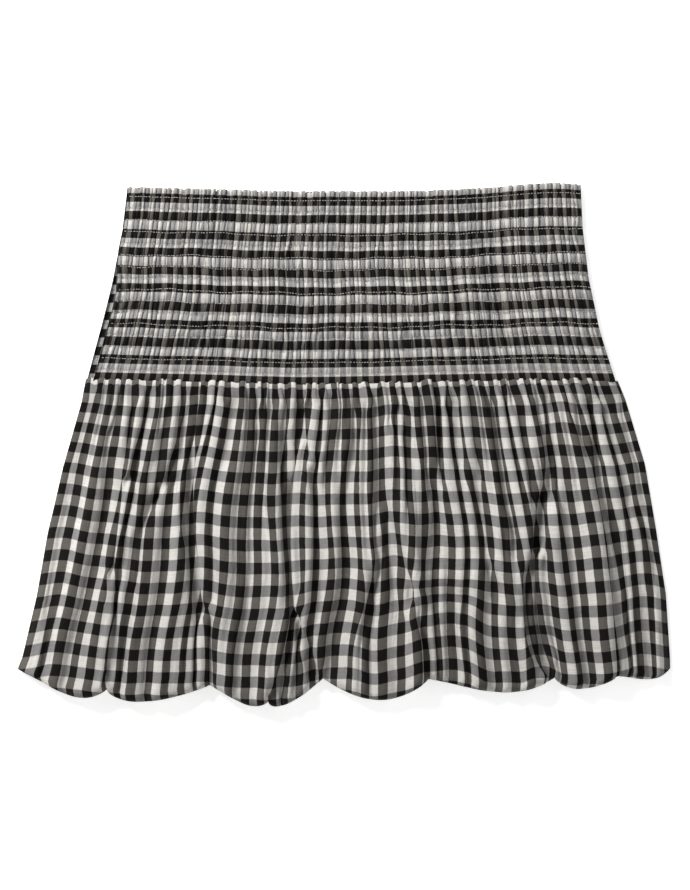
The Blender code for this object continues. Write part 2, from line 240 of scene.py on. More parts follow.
# Gathers between the creases: waves of cloth with their pitch, the shares of the way down at which
# they start, are full, begin to fade and are gone, their strength, how far they wander, and how much
# broader their ridges are than their valleys, from 0 to 1.
Gather = namedtuple("Gather", "pitch start full fade gone weight wander breadth")
FRONT_GATHERS = named_rows(Gather,
    (0.0100, -1.0, -0.5, 0.02, 0.14, 1.00, 0.0034, 0.55),
    (0.0160, 0.00, 0.07, 0.25, 0.60, 0.90, 0.0060, 0.50),
    (0.0290, 0.15, 0.40, 2.0, 3.0, 0.90, 0.0100, 0.45),
    (0.0145, 0.10, 0.30, 2.0, 3.0, 0.35, 0.0060, 0.45),
)
BACK_GATHERS = named_rows(Gather,
    (0.0076, -1.0, -0.5, 0.03, 0.22, 1.00, 0.0026, 0.50),
    (0.0082, 0.03, 0.16, 0.40, 0.75, 0.95, 0.0030, 0.45),
    (0.0092, 0.20, 0.45, 2.0, 3.0, 0.95, 0.0036, 0.45),
)
YOKE_GATHERS = named_rows(Gather,
    (0.0080, -1.0, -0.5, 2.0, 3.0, 1.00, 0.0024, 0.65),
    (0.0115, -1.0, -0.5, 2.0, 3.0, 0.35, 0.0040, 0.50),
)
BACK_YOKE_GATHERS = named_rows(Gather,
    (0.0066, -1.0, -0.5, 2.0, 3.0, 1.00, 0.0020, 0.50),
    (0.0090, -1.0, -0.5, 2.0, 3.0, 0.25, 0.0030, 0.50),
)
CREASE_CROSSING = 0.0020        # creases this near to each other share the cloth that they swallow
COLUMN_STEADINESS = 0.11        # share of a panel's length over which its columns bend
GATHER_WINDOW = 0.0090          # width of cloth over which the gathers even out
HEIGHT_WINDOW = 0.0200          # and over which their height does
FREE_EDGE = 0.012               # nearer than this to a side seam, the cloth sways less and less
# The creases' places and the gathers' strength are solved in this many rounds.
CREASE_ROUNDS, GATHER_ROUNDS = 4, 12
GATHER_STEP, MOST_GATHERED = 1.3, 2.0

# Where the rows of checks hang lower or higher than their places, how far around, and by how much.
Sag = namedtuple("Sag", "x y reach_x reach_y drop")
FRONT_SAGS = named_rows(Sag,
    (-0.2150, -0.0600, 0.0230, 0.3000, -0.0046),
    (-0.1430, -0.0500, 0.0200, 0.0900, 0.0031),
    (-0.1050, -0.0500, 0.0130, 0.2000, -0.0026),
    (-0.0660, -0.1200, 0.0240, 0.1000, 0.0028),
    (-0.0330, -0.0200, 0.0110, 0.0900, -0.0015),
    (0.0390, -0.0400, 0.0130, 0.2000, -0.0034),
    (0.0660, -0.0200, 0.0140, 0.0700, -0.0018),
    (0.1260, -0.0700, 0.0200, 0.0700, 0.0030),
    (0.1640, 0.0250, 0.0130, 0.0450, -0.0030),
    (0.1660, -0.1050, 0.0160, 0.0600, 0.0034),
    (0.1920, -0.0300, 0.0180, 0.0700, -0.0026),
    (0.1900, -0.1500, 0.0180, 0.0400, 0.0026),
    (0.2240, -0.0600, 0.0190, 0.3000, -0.0060),
)
# Tucks across the puff, which swallow cloth from here down: half width, half height and cloth.
Tuck = namedtuple("Tuck", "x y reach_x reach_y cloth")
FRONT_TUCKS = named_rows(Tuck,
    (0.0750, -0.1080, 0.0270, 0.0150, 0.0110),
    (-0.0070, -0.0900, 0.0220, 0.0450, 0.0056),
    (0.1470, -0.1390, 0.0120, 0.0140, 0.0042),
)
TUCK_RELIEF = 0.26              # how far a tuck swells above itself, for each metre it swallows
# Broad hollows between the lobes: half width, half height and depth.
Hollow = namedtuple("Hollow", "x y reach_x reach_y depth")
FRONT_HOLLOWS = named_rows(Hollow,
    (-0.0070, -0.1450, 0.0240, 0.0420, 0.0038),
    (0.0600, -0.1020, 0.0150, 0.0350, 0.0026),
    (-0.1420, -0.1500, 0.0150, 0.0400, 0.0024),
    (0.1520, -0.1500, 0.0130, 0.0400, 0.0026),
)

# Heights.
YOKE_BACK_Z = 0.0021
YOKE_FRONT_Z = 0.0058
YOKE_GAP_Z = 0.0042             # height between the front and the back of the yoke
SIDE_Z = 0.0016                 # front at the side seam
BACK_SIDE_Z = 0.0005
LAYER_PITCH = 0.0016            # height between two layers inside the hem
PRESSED_PITCH = 0.0007          # and where the side edges are pressed together
PRESS_REACH = 0.0120            # the side edges are pressed together over this width
BACK_CREST = 0.0009             # how far the back's gathers stand up from the surface
BACK_RETURN_EDGE_Z = 0.0022
BACK_RETURN_RISE = 0.0018
PUFF_HEIGHT = 0.0140
EDGE_REACH = 0.0420             # the puff rounds off towards its side edges over this width
# How much of its height the puff has, a share of the way down.
PUFF_PROFILE = ((0.0, 0.0), (0.10, 0.42), (0.30, 0.74), (0.55, 0.95), (0.70, 1.0), (0.86, 0.90),
                (1.0, 0.66))
PROFILE_SOFTNESS = 0.09
LEAST_GAP = 0.0026              # least height of the front's valleys over the back
VALLEY_ROUNDING = 0.0015        # height over which folds round off into their lowest place
SEAM_RELIEF = 0.45              # how much of their height the folds keep at the yoke seam
SIDE_FADE = 0.0100              # folds fade out over this width at the side edges
FRONT_RELIEF = 0.98             # how much of their own height the front's folds keep, laid down
BACK_RELIEF = 0.72
UNEVENNESS, SEAM_UNEVENNESS = 0.10, 0.16    # of the gathers, and how much more at the yoke seam
CREST_RISE = 0.0012             # how far the gathers' crests stand over the yoke seam along Y
CREST_HEIGHT = 0.0024           # height of a gather that counts as a full crest
SEAM_LAP = 0.0016               # how far the yoke reaches under them
RETURN_INSET = 0.0030
HEM_RADIUS = 0.0060
SIDE_HEM_RADIUS = 0.0012

# Cloth used for each metre laid down the puff, a share of the way down.
ROW_LENGTHS = ((0.0, 1.13), (0.15, 1.10), (0.35, 1.05), (0.60, 1.02), (1.0, 1.0))

# Shirred yoke.
ELASTIC_ROWS = 17
FRILL_SHARE = 0.045
FRILL_WAVE = 0.0008             # how far the frill's edge waves along Y
SHIRR_BULGE = 0.0016
YOKE_SIDE_FADE = 0.008          # over this width its bulges fade out at the side edges
YOKE_SIDE_DROP, YOKE_GAP_DROP = 0.0012, 0.0006      # and it lies this much lower there
PUCKER_ROUNDING = 0.0006
FRONT_PUCKERS, BACK_PUCKERS = 0.92, 1.0     # how much of their own height the puckers keep
BACK_PEEK = 0.0052              # how far the back shows beside the front's left edge
BACK_ROW_SHIFT = 0.0062         # its rows of checks don't meet the front's
PEEK_START_Y, PEEK_FULL_Y = 0.1500, 0.1100
# Waver of the yoke's rows along Y.
Wobble = namedtuple("Wobble", "height wavelength turn")
YOKE_WOBBLES = (Wobble(0.0007, 0.171, 9.0), Wobble(0.0004, 0.063, -14.0))

# Stitches of the shirring.
STITCH_PITCH = 0.0021
STITCH_LENGTH = 0.0017
THREAD_RADIUS = 0.00025
STITCH_MARGIN = 0.0020          # from the side edges
STITCH_DRIFT, ROW_DRIFT = 0.0003, 0.00008   # most that a stitch strays along its row and across it
STITCH_ARCH = (-0.0005, 0.00015, 0.00015, -0.0005)     # height of its points over the cloth
CREST_REACH = 0.0012            # a stitch rides on the highest cloth this near to it

# Elastic band inside the hem.
BAND_HALF_THICKNESS = 0.0003
BAND_HALF_OPENING = 0.0006      # half the height between its front and its back
BAND_RIPPLE, BAND_RIPPLES = 0.00015, 60
BAND_INSET = 0.0048             # from the side edges of the skirt
BAND_TIGHTNESS = 0.995          # share of the width left to it that it takes
BAND_TURN = 0.08                # how soon it opens from its folded ends
CLOTH_PER_RADIAN = 0.15         # band for each radian round it

# Grids.
PUFF_COLUMNS, PUFF_ROWS = 560, 72
BACK_PUFF_COLUMNS, BACK_PUFF_ROWS = 640, 48
ROLL_ROWS, RETURN_ROWS = 8, 5
YOKE_COLUMNS, BACK_YOKE_COLUMNS, FRILL_ROWS = 940, 900, 3
CHANNEL_PLACES = (0.22, 0.78)   # grid rows between two elastic rows, as shares of the way
BAND_COLUMNS, BAND_ROWS = 320, 8

# Fine wrinkles in the cloth.
Crinkle = namedtuple("Crinkle", "across down height")
PUFF_CRINKLE = Crinkle(330.0, 55.0, 0.0008)
YOKE_CRINKLE = Crinkle(560.0, 130.0, 0.0015)
NEEDLE_PITCH = 0.0031           # of the holes along an elastic row, in the cloth
YARN_PITCH = 0.00076

# Colours (linear) of the cotton where its yarns cross.
BLACK_ON_BLACK = (0.0052, 0.0045, 0.0039, 1.0)
BLACK_WARP = (0.098, 0.092, 0.083, 1.0)         # black warp over white weft
WHITE_WARP = (0.215, 0.212, 0.206, 1.0)         # white warp over black weft
YOKE_WHITE_WARP = (0.300, 0.296, 0.288, 1.0)    # paler, because the shirred cloth is drawn together
WHITE_ON_WHITE = (0.590, 0.568, 0.530, 1.0)
THREAD_GREY = (0.60, 0.59, 0.56, 1.0)
ELASTIC_WHITE = (0.70, 0.68, 0.64, 1.0)
ELASTIC_PAINTED_SHADE = (0.45, 0.44, 0.42, 1.0)          # painted shade between its ribs
WHITE = (1.0, 1.0, 1.0, 1.0)

# Stage: the photograph's frame is so high, at the height of the middle of the puff.
FRAME_HEIGHT = 0.6675
FRAME_X, FRAME_Y = 0.00075, -0.00075
PUFF_MIDDLE_Z = 0.010
CAMERA_DISTANCE = 2.4
SENSOR_HEIGHT_MM = 24.0
FLOOR_REACH = 12.0
Softbox = namedtuple("Softbox", "name x y z size power")
SOFTBOXES = (
    Softbox("key", -1.1, 1.25, 1.25, 0.7, 55.0),
    Softbox("fill", 1.3, 0.5, 1.5, 1.2, 3.0),
    Softbox("front", 0.0, -1.4, 1.5, 1.4, 2.0),
)


def smooth_step(low, high, value):
    """0 at low, 1 at high, and a smooth change between them."""
    share = np.clip((value - low) / (high - low), 0.0, 1.0)
    return share * share * (3 - 2 * share)


def smooth_largest(first, second, blend):
    """The larger of two heights, rounded where they meet."""
    share = np.maximum(blend - np.abs(first - second), 0.0) / blend
    return np.maximum(first, second) + share * share * blend / 4


def follow(table, at):
    """The second column of a two-column table, at places along its first."""
    places, values = zip(*table)
    return np.interp(at, places, values)


def eased(table, at, softness):
    """Like follow, but with the table's corners rounded."""
    around = [follow(table, at + softness * shift) for shift in (-1.0, -0.5, 0.0, 0.5, 1.0)]
    return 0.12 * (around[0] + around[4]) + 0.24 * (around[1] + around[3]) + 0.28 * around[2]


def edge_y(table, x):
    """Where an edge of the yoke runs."""
    return eased(table, x, EDGE_SOFTNESS)


def outline(y):
    """Left and right edges of the laid skirt at y."""
    upward = SECTIONS[::-1]
    places = [section.y for section in upward]
    left = np.interp(y, places, [section.left for section in upward])
    right = np.interp(y, places, [section.right for section in upward])
    return left, right


def inside(x, y, reach):
    """0 at a side edge, rising to 1 at a reach from it."""
    left, right = outline(y)
    reached = np.clip(np.minimum(x - left, right - x) / reach, 0.0, 1.0)
    return np.sin(math.pi / 2 * reached)


def hem_y(notches, x):
    """Where a scalloped hem runs: rounded lobes between sharp notches."""
    places = np.array([notch.x for notch in notches])
    index = np.clip(np.searchsorted(places, x, side="right") - 1, 0, len(notches) - 2)
    table = np.array(notches)
    start, end = table[index], table[index + 1]
    share = np.clip((x - start[..., 0]) / (end[..., 0] - start[..., 0]), 0.0, 1.0)
    skewed = share ** (math.log(0.5) / np.log(start[..., 3]))
    lobe = start[..., 2] * np.sin(math.pi * np.clip(skewed, 0.0, 1.0)) ** 0.8
    return start[..., 1] + (end[..., 1] - start[..., 1]) * share - lobe


def blur(values, sigma, axis):
    """Gaussian average along an axis."""
    reach = int(3 * sigma) + 1
    weights = np.exp(-0.5 * (np.arange(-reach, reach + 1) / sigma) ** 2)
    weights /= weights.sum()
    margins = [(0, 0)] * values.ndim
    margins[axis] = (reach, reach)
    wide = np.pad(values, margins, mode="reflect", reflect_type="odd")
    return np.apply_along_axis(np.convolve, axis, wide, weights, "valid")


def running_sum(values, step):
    """Integral along the rows by the trapezium rule, starting at 0."""
    sums = np.cumsum((values[:, 1:] + values[:, :-1]) * step / 2, axis=1)
    return np.pad(sums, ((0, 0), (1, 0)))


def gather_angles(gathers, cloth, share, seed):
    """Slopes of the gathers between creases at each place in the cloth, before they are scaled."""
    rng = np.random.default_rng(seed)
    angles = np.zeros((len(share), len(cloth)))
    for gather in gathers:
        turns = rng.uniform(0, math.tau, 8)
        lean = np.sin(math.tau * share[:, None] * rng.uniform(0.3, 0.7) + turns[0])
        drift = (np.sin(cloth * math.tau / 0.213 + turns[1] + 0.5 * lean)
                 + 0.7 * np.sin(cloth * math.tau / 0.0911 + turns[2] - 0.4 * lean)
                 + 0.45 * np.sin(cloth * math.tau / 0.0467 + turns[3] + 0.7 * lean))
        phase = math.tau * (cloth + gather.wander * drift) / gather.pitch + turns[4]
        wave = np.sin(phase + gather.breadth * np.sin(phase))
        uneven = 1 + 0.45 * np.sin(cloth * math.tau / 0.0713 + turns[5] + 1.2 * share[:, None])
        shift = 0.06 * np.sin(cloth * math.tau / 0.057 + turns[6])
        place = share[:, None] + shift
        weight = smooth_step(gather.start, gather.full, place)
        weight = weight * (1 - smooth_step(gather.fade, gather.gone, place))
        angles += gather.weight * weight * uneven * wave
    return angles


def crease_angles(creases, strength, centre, cloth):
    """Slopes of the main creases: down into each valley and up out of it."""
    angles = np.zeros((centre.shape[1], len(cloth)))
    for crease, bends, middles in zip(creases, strength, centre):
        away = (cloth[None, :] - middles[:, None]) / (crease.half_width * CREASE_BREADTH)
        hollow = np.exp(-0.5 * away * away)
        angles += bends[:, None] * (away * math.exp(0.5) + crease.lean) * hollow
    return angles


def hidden_cloth(crease, bends):
    """Width of cloth that a crease swallows, for each of its bends down the puff."""
    away = np.linspace(-4.0, 4.0, 161)
    slopes = bends[:, None] * (away * math.exp(0.5) + crease.lean) * np.exp(-0.5 * away * away)
    return (1 - np.cos(slopes)).sum(axis=1) * (away[1] - away[0]) * crease.half_width * CREASE_BREADTH


def crease_middles(creases, crease_x, strength, width, left, span):
    """Place of each crease in the cloth, so that the free cloth between them lies evenly."""
    hidden = np.array([hidden_cloth(crease, bends) for crease, bends in zip(creases, strength)])
    free = width - hidden.sum(axis=0)
    apart = (crease_x[:, None, :] - crease_x[None, :, :]) / CREASE_CROSSING
    passed = 0.5 + 0.5 * np.tanh(apart)
    return free * (crease_x - left) / span + (hidden[None, :, :] * passed).sum(axis=1)


def steady_density(fixed, evenness, span, step):
    """Width that each place in the cloth covers, changing slowly down the rows so that columns run
    straight past the ends and bends of the creases."""
    density = np.cos(fixed) * evenness
    density = blur(density, COLUMN_STEADINESS * len(density), 0)
    return density * span[:, None] / running_sum(density, step)[:, -1:]


Creased = namedtuple("Creased", "creases places bends eases row_y")


def gathered(cloth, left, right, loose, evenness, creased=None):
    """Lays each row of cloth between its edges. Returns the places across and the heights."""
    step = cloth[1] - cloth[0]
    span = right - left
    fixed = np.zeros_like(loose)
    density = steady_density(fixed, evenness, span, step)
    if creased:
        middles = crease_middles(creased.creases, creased.places, creased.bends, cloth[-1], left, span)
        for _ in range(CREASE_ROUNDS):
            fixed = crease_angles(creased.creases, creased.bends, middles, cloth)
            laid_x = left[:, None] + running_sum(density, step)
            easing = sum(ease.share * mound(ease, laid_x, creased.row_y) for ease in creased.eases)
            density = steady_density(fixed, evenness * (1 + easing), span, step)
            laid_x = left[:, None] + running_sum(density, step)
            middles = np.array([[np.interp(x, row, cloth) for x, row in zip(places, laid_x)]
                                for places in creased.places])
    window = GATHER_WINDOW / step
    wanted = blur(density, window, 1)
    amount = np.ones_like(loose)
    for _ in range(GATHER_ROUNDS):
        laid = blur(np.cos(fixed + amount * loose), window, 1)
        amount = np.clip(amount + GATHER_STEP * (laid - wanted), 0.0, MOST_GATHERED)
    angles = fixed + amount * loose
    sway = running_sum(np.cos(angles) - density, step)
    free = smooth_step(0.0, FREE_EDGE, np.minimum(cloth, cloth[-1] - cloth))
    x = left[:, None] + running_sum(density, step) + free * (sway - blur(sway, window, 1))
    height = running_sum(np.sin(angles), step)
    height -= blur(height, HEIGHT_WINDOW / step, 1)
    return x, height


def uneven_gathers(cloth, share, amount, seed):
    """How much more or less than its share of the width each place in the cloth gets."""
    rng = np.random.default_rng(seed)
    field = np.zeros((len(share), len(cloth)))
    for wavelength, weight in ((0.118, 0.3), (0.061, 0.6), (0.037, 1.0), (0.024, 1.2)):
        turns = rng.uniform(0, math.tau, 2)
        field += weight * np.sin(math.tau * cloth / wavelength + turns[0] + 0.5 * share[:, None])
    return 1 + amount * field / 2


def crease_places(creases, share, notches):
    """Where each crease runs at each row, and how strongly it bends there."""
    places = []
    bends = []
    for crease in creases:
        path = np.array(crease.path)
        top = edge_y(YOKE_SEAM, path[:, 0])
        foot = hem_y(notches, path[:, 0]) + hem_radius(path[:, 0])
        down = (top - path[:, 1]) / (top - foot)
        places.append(np.interp(share, down, path[:, 0]))
        bend = np.interp(share, down, path[:, 2]) * follow(CREASE_DEPTHS, share)
        bends.append(np.where(share < down[0] - 0.04, 0.0, np.minimum(bend, STEEPEST_BEND)))
    return blur(np.array(places), 2.5, 1), blur(np.array(bends), 1.5, 1)


def mound(spot, x, y):
    """1 at the middle of a sag or a hollow, fading to 0 around it."""
    return np.exp(-((x - spot.x) / spot.reach_x) ** 2 - ((y - spot.y) / spot.reach_y) ** 2)


def sagged(sags, tucks, x, y):
    """How far the rows of checks hang below their places, and how far the tucks swell."""
    drop = np.zeros_like(x)
    for sag in sags:
        drop += sag.drop * mound(sag, x, y)
    swell = np.zeros_like(x)
    for tuck in tucks:
        cloth = tuck.cloth * np.exp(-((x - tuck.x) / tuck.reach_x) ** 4)
        drop -= cloth * (1 - smooth_step(tuck.y - tuck.reach_y, tuck.y + tuck.reach_y, y))
        above = (y - tuck.y) / tuck.reach_y
        swell += TUCK_RELIEF * cloth * 1.65 * above * np.exp(-above * above / 0.7)
    return drop, swell


def row_drift(cloth, share, seed):
    """Gentle waver of the rows of checks, because the cloth is never quite straight."""
    rng = np.random.default_rng(seed)
    drift = np.zeros((len(share), len(cloth)))
    for wavelength, reach in ((0.230, 0.0003), (0.110, 0.0003), (0.052, 0.0003), (0.029, 0.0002)):
        turns = rng.uniform(0, math.tau, 3)
        bend = 1.2 * np.sin(math.tau * share[:, None] * rng.uniform(0.5, 1.1) + turns[0])
        drift += reach * np.sin(math.tau * cloth / wavelength + turns[1] + bend)
    return drift * smooth_step(0.0, 0.10, share)[:, None]


def hem_radius(x):
    """Radius of the rolled hem along Y."""
    return SIDE_HEM_RADIUS + (HEM_RADIUS - SIDE_HEM_RADIUS) * inside(x, -0.16, EDGE_REACH)


def back_return_z(x, y):
    """Height of the back's return inside the hem."""
    raised = BACK_RETURN_EDGE_Z + BACK_RETURN_RISE * inside(x, y, EDGE_REACH)
    pressed = BACK_SIDE_Z + PRESSED_PITCH
    return pressed + (raised - pressed) * inside(x, y, PRESS_REACH)


def layer_pitch(x, y):
    """Height between two layers inside the hem, less where the side edges are pressed together."""
    return PRESSED_PITCH + (LAYER_PITCH - PRESSED_PITCH) * inside(x, y, PRESS_REACH)


def front_return_z(x, y):
    """Height of the front's return inside the hem."""
    return back_return_z(x, y) + layer_pitch(x, y)


def front_heights(x, y, share):
    """Crest of the front puff before its folds, and the lowest and highest it may lie."""
    stacked = smooth_step(STACK_TOP_Y, BAND_TOP_Y, y)
    near = inside(x, y, PRESS_REACH)
    over_returns = front_return_z(x, y) + layer_pitch(x, y)
    at_seam = 1 - smooth_step(0.0, 0.12, share)
    side = SIDE_Z + at_seam * (YOKE_FRONT_Z - SIDE_Z) * near
    lowest = side + stacked * (over_returns - SIDE_Z)
    lowest = lowest + (1 - stacked) * (BACK_SIDE_Z + LEAST_GAP - SIDE_Z) * near
    lifted = smooth_step(LIFT_TOP_Y, BAND_BOTTOM_Y, y)
    profile = eased(PUFF_PROFILE, share, np.minimum(PROFILE_SOFTNESS, share))
    crest = side + lifted * (over_returns - SIDE_Z) + PUFF_HEIGHT * inside(x, y, EDGE_REACH) * profile
    return crest, lowest, np.full_like(x, math.inf)


def back_heights(x, y, share):
    """The back puff lies on the surface, below its own return and the front."""
    near = inside(x, y, PRESS_REACH)
    stacked = smooth_step(STACK_TOP_Y, BAND_TOP_Y, y)
    at_seam = (YOKE_BACK_Z - BACK_SIDE_Z) * (1 - smooth_step(0.0, 0.10, share))
    crest = BACK_SIDE_Z + (at_seam + BACK_CREST) * near
    under_return = back_return_z(x, y) - PRESSED_PITCH
    highest = crest + BACK_CREST * near
    return crest, np.full_like(x, SHELL), highest + stacked * (under_return - highest)


Puff = namedtuple("Puff", "hem creases gathers eases sags tucks hollows seed columns rows relief heights "
                          "return_z")
FRONT_PUFF = Puff(FRONT_HEM, FRONT_CREASES, FRONT_GATHERS, FRONT_EASES, FRONT_SAGS, FRONT_TUCKS,
                  FRONT_HOLLOWS, 11, PUFF_COLUMNS, PUFF_ROWS, FRONT_RELIEF, front_heights,
                  front_return_z)
BACK_PUFF = Puff(BACK_HEM, BACK_CREASES, BACK_GATHERS, (), (), (), (), 23,
                 BACK_PUFF_COLUMNS, BACK_PUFF_ROWS, BACK_RELIEF, back_heights, back_return_z)


def lay_puff(puff):
    """Places and cloth coordinates of a puff: down the outside, round the hem and back to the band."""
    share = np.linspace(0.0, 1.0, puff.rows + 1)
    cloth = np.linspace(0.0, PUFF_WIDTH, puff.columns + 1)
    ends = np.array([SECTIONS[-1].left, SECTIONS[-1].right])
    end_tops = edge_y(YOKE_SEAM, ends)
    end_feet = hem_y(puff.hem, ends) + SIDE_HEM_RADIUS
    left, _ = outline(end_tops[0] + (end_feet[0] - end_tops[0]) * share)
    _, right = outline(end_tops[1] + (end_feet[1] - end_tops[1]) * share)
    loose = gather_angles(puff.gathers, cloth, share, puff.seed)
    unevenness = UNEVENNESS + SEAM_UNEVENNESS * (1 - smooth_step(0.0, 0.35, share[:, None]))
    evenness = uneven_gathers(cloth, share, unevenness, puff.seed + 1)
    down = share[:, None]
    row_y = end_tops.mean() + (end_feet.mean() - end_tops.mean()) * down
    creased = Creased(puff.creases, *crease_places(puff.creases, share, puff.hem), puff.eases, row_y)
    x, height = gathered(cloth, left, right, loose, evenness, creased)

    top = edge_y(YOKE_SEAM, x)
    radius = hem_radius(x)
    y = top + (hem_y(puff.hem, x) + radius - top) * down
    crest, lowest, highest = puff.heights(x, y, down)
    kept = SEAM_RELIEF + (1 - SEAM_RELIEF) * smooth_step(0.0, 0.05, down)
    settled = puff.relief * kept * inside(x, y, SIDE_FADE)
    drop, swell = sagged(puff.sags, puff.tucks, x, y)
    for hollow in puff.hollows:
        swell -= hollow.depth * mound(hollow, x, y)
    z = smooth_largest(crest + settled * height + swell, lowest, VALLEY_ROUNDING)
    z = np.minimum(z, highest)
    length = running_sum(follow(ROW_LENGTHS, share)[None, :], share[1])[0]
    used = (top - y) / np.maximum(down, 1e-6) * length[:, None]
    used = used - drop * smooth_step(0.0, 0.08, down) + row_drift(cloth, share, puff.seed + 2)
    pointed = 2 * (0.5 + 0.5 * np.tanh(height / CREST_HEIGHT)) ** 3 - 0.5
    y = y + CREST_RISE * pointed * (1 - smooth_step(0.0, 0.06, down))

    hem_x, hem_z, turn_y = x[-1], z[-1], y[-1]
    layers = [(x, y, z, used)]
    for turned in np.linspace(0, 1, ROLL_ROWS + 1)[1:]:
        inset_x = carried(hem_x, turn_y, turn_y, RETURN_INSET * turned)
        low_z = puff.return_z(inset_x, turn_y)
        roll_y = turn_y - radius[-1] * math.sin(math.pi * turned)
        roll_z = low_z + (hem_z - low_z) * (1 + math.cos(math.pi * turned)) / 2
        layers.append((inset_x, roll_y, roll_z, used[-1] + math.pi * radius[-1] * turned))
    for back in np.linspace(0, 1, RETURN_ROWS + 1)[1:]:
        y_back = turn_y + (BAND_BOTTOM_Y - turn_y) * back
        inset_x = carried(hem_x, turn_y, y_back, RETURN_INSET)
        z_back = puff.return_z(inset_x, y_back)
        layers.append((inset_x, y_back, z_back, used[-1] + math.pi * radius[-1] + y_back - turn_y))
    x, y, z, used = (np.vstack(part) for part in zip(*layers))
    across = np.broadcast_to(cloth, x.shape)
    return np.stack([x, y, z], axis=2), np.stack([across, used], axis=2)


def carried(x, y, new_y, inset):
    """Places across the skirt carried to another y and moved in from its side edges by an inset."""
    left, right = outline(y)
    new_left, new_right = outline(new_y)
    share = (x - left) / (right - left)
    return new_left + inset + share * (new_right - new_left - 2 * inset)


def yoke_shares():
    """Shares of the way down the yoke for its grid rows, and how many channels down each row is."""
    frill = np.linspace(-0.5, 0.0, FRILL_ROWS + 1)[:-1]
    channels = [channel + place for channel in range(ELASTIC_ROWS - 1) for place in (0.0,) + CHANNEL_PLACES]
    phase = np.concatenate([frill, channels, [ELASTIC_ROWS - 1]])
    below = FRILL_SHARE + (1 - FRILL_SHARE) * phase / (ELASTIC_ROWS - 1)
    share = np.where(phase < 0, FRILL_SHARE * (1 + 2 * phase), below)
    return share, phase


def lay_yoke(front):
    """Places and cloth coordinates of a yoke panel, puckered by its elastic rows."""
    share, phase = yoke_shares()
    columns = YOKE_COLUMNS if front else BACK_YOKE_COLUMNS
    cloth = np.linspace(0.0, YOKE_WIDTH, columns + 1)
    row_y = WAIST_Y + (SEAM_Y - WAIST_Y) * share
    left, right = outline(row_y)
    if front:
        left = left + BACK_PEEK * smooth_step(PEEK_START_Y, PEEK_FULL_Y, row_y)
    gathers = YOKE_GATHERS if front else BACK_YOKE_GATHERS
    loose = gather_angles(gathers, cloth, 3.0 * share, 5 if front else 17)
    evenness = uneven_gathers(cloth, share, 0.05, 6 if front else 18)
    x, height = gathered(cloth, left, right, loose, evenness)
    wobble = sum(part.height * np.sin(cloth * math.tau / part.wavelength + part.turn * share[:, None])
                 for part in YOKE_WOBBLES)
    middle = np.sin(math.pi * share)[:, None]
    top = edge_y(FRILL_EDGE, x)
    bottom = edge_y(YOKE_SEAM, x) - SEAM_LAP
    y = top + (bottom - top) * share[:, None] + wobble * middle
    used = YOKE_LENGTH * (share[:, None] - 0.5 * wobble * middle / (top - bottom))
    swell = np.abs(np.sin(math.pi * phase))[:, None] ** 0.6
    near = inside(x, y, YOKE_SIDE_FADE)
    if front:
        base = YOKE_FRONT_Z - YOKE_SIDE_DROP + (SHIRR_BULGE * swell + YOKE_SIDE_DROP) * near
        z = base + FRONT_PUCKERS * height * (0.65 + 0.35 * swell) * near
        z = smooth_largest(z, YOKE_GAP_Z - YOKE_GAP_DROP * (1 - near), PUCKER_ROUNDING)
    else:
        used = used + BACK_ROW_SHIFT
        z = YOKE_BACK_Z + BACK_PUCKERS * height * (0.85 + 0.15 * swell) * near
        z = np.clip(z, SHELL / 2, YOKE_GAP_Z - SHELL)
    in_frill = 1 - smooth_step(0.0, FRILL_SHARE, share[:, None])
    y = y + FRILL_WAVE * np.tanh(height / 0.0010) * in_frill
    across = np.broadcast_to(cloth, x.shape)
    channel = np.broadcast_to(phase[:, None], x.shape)
    return np.stack([x, y, z], axis=2), np.stack([across, used, channel], axis=2)


def sheet_normals(points):
    """Unit normals of a grid of points."""
    down = np.gradient(points, axis=0)
    across = np.gradient(points, axis=1)
    normals = np.cross(down, across)
    return normals / np.linalg.norm(normals, axis=2, keepdims=True)


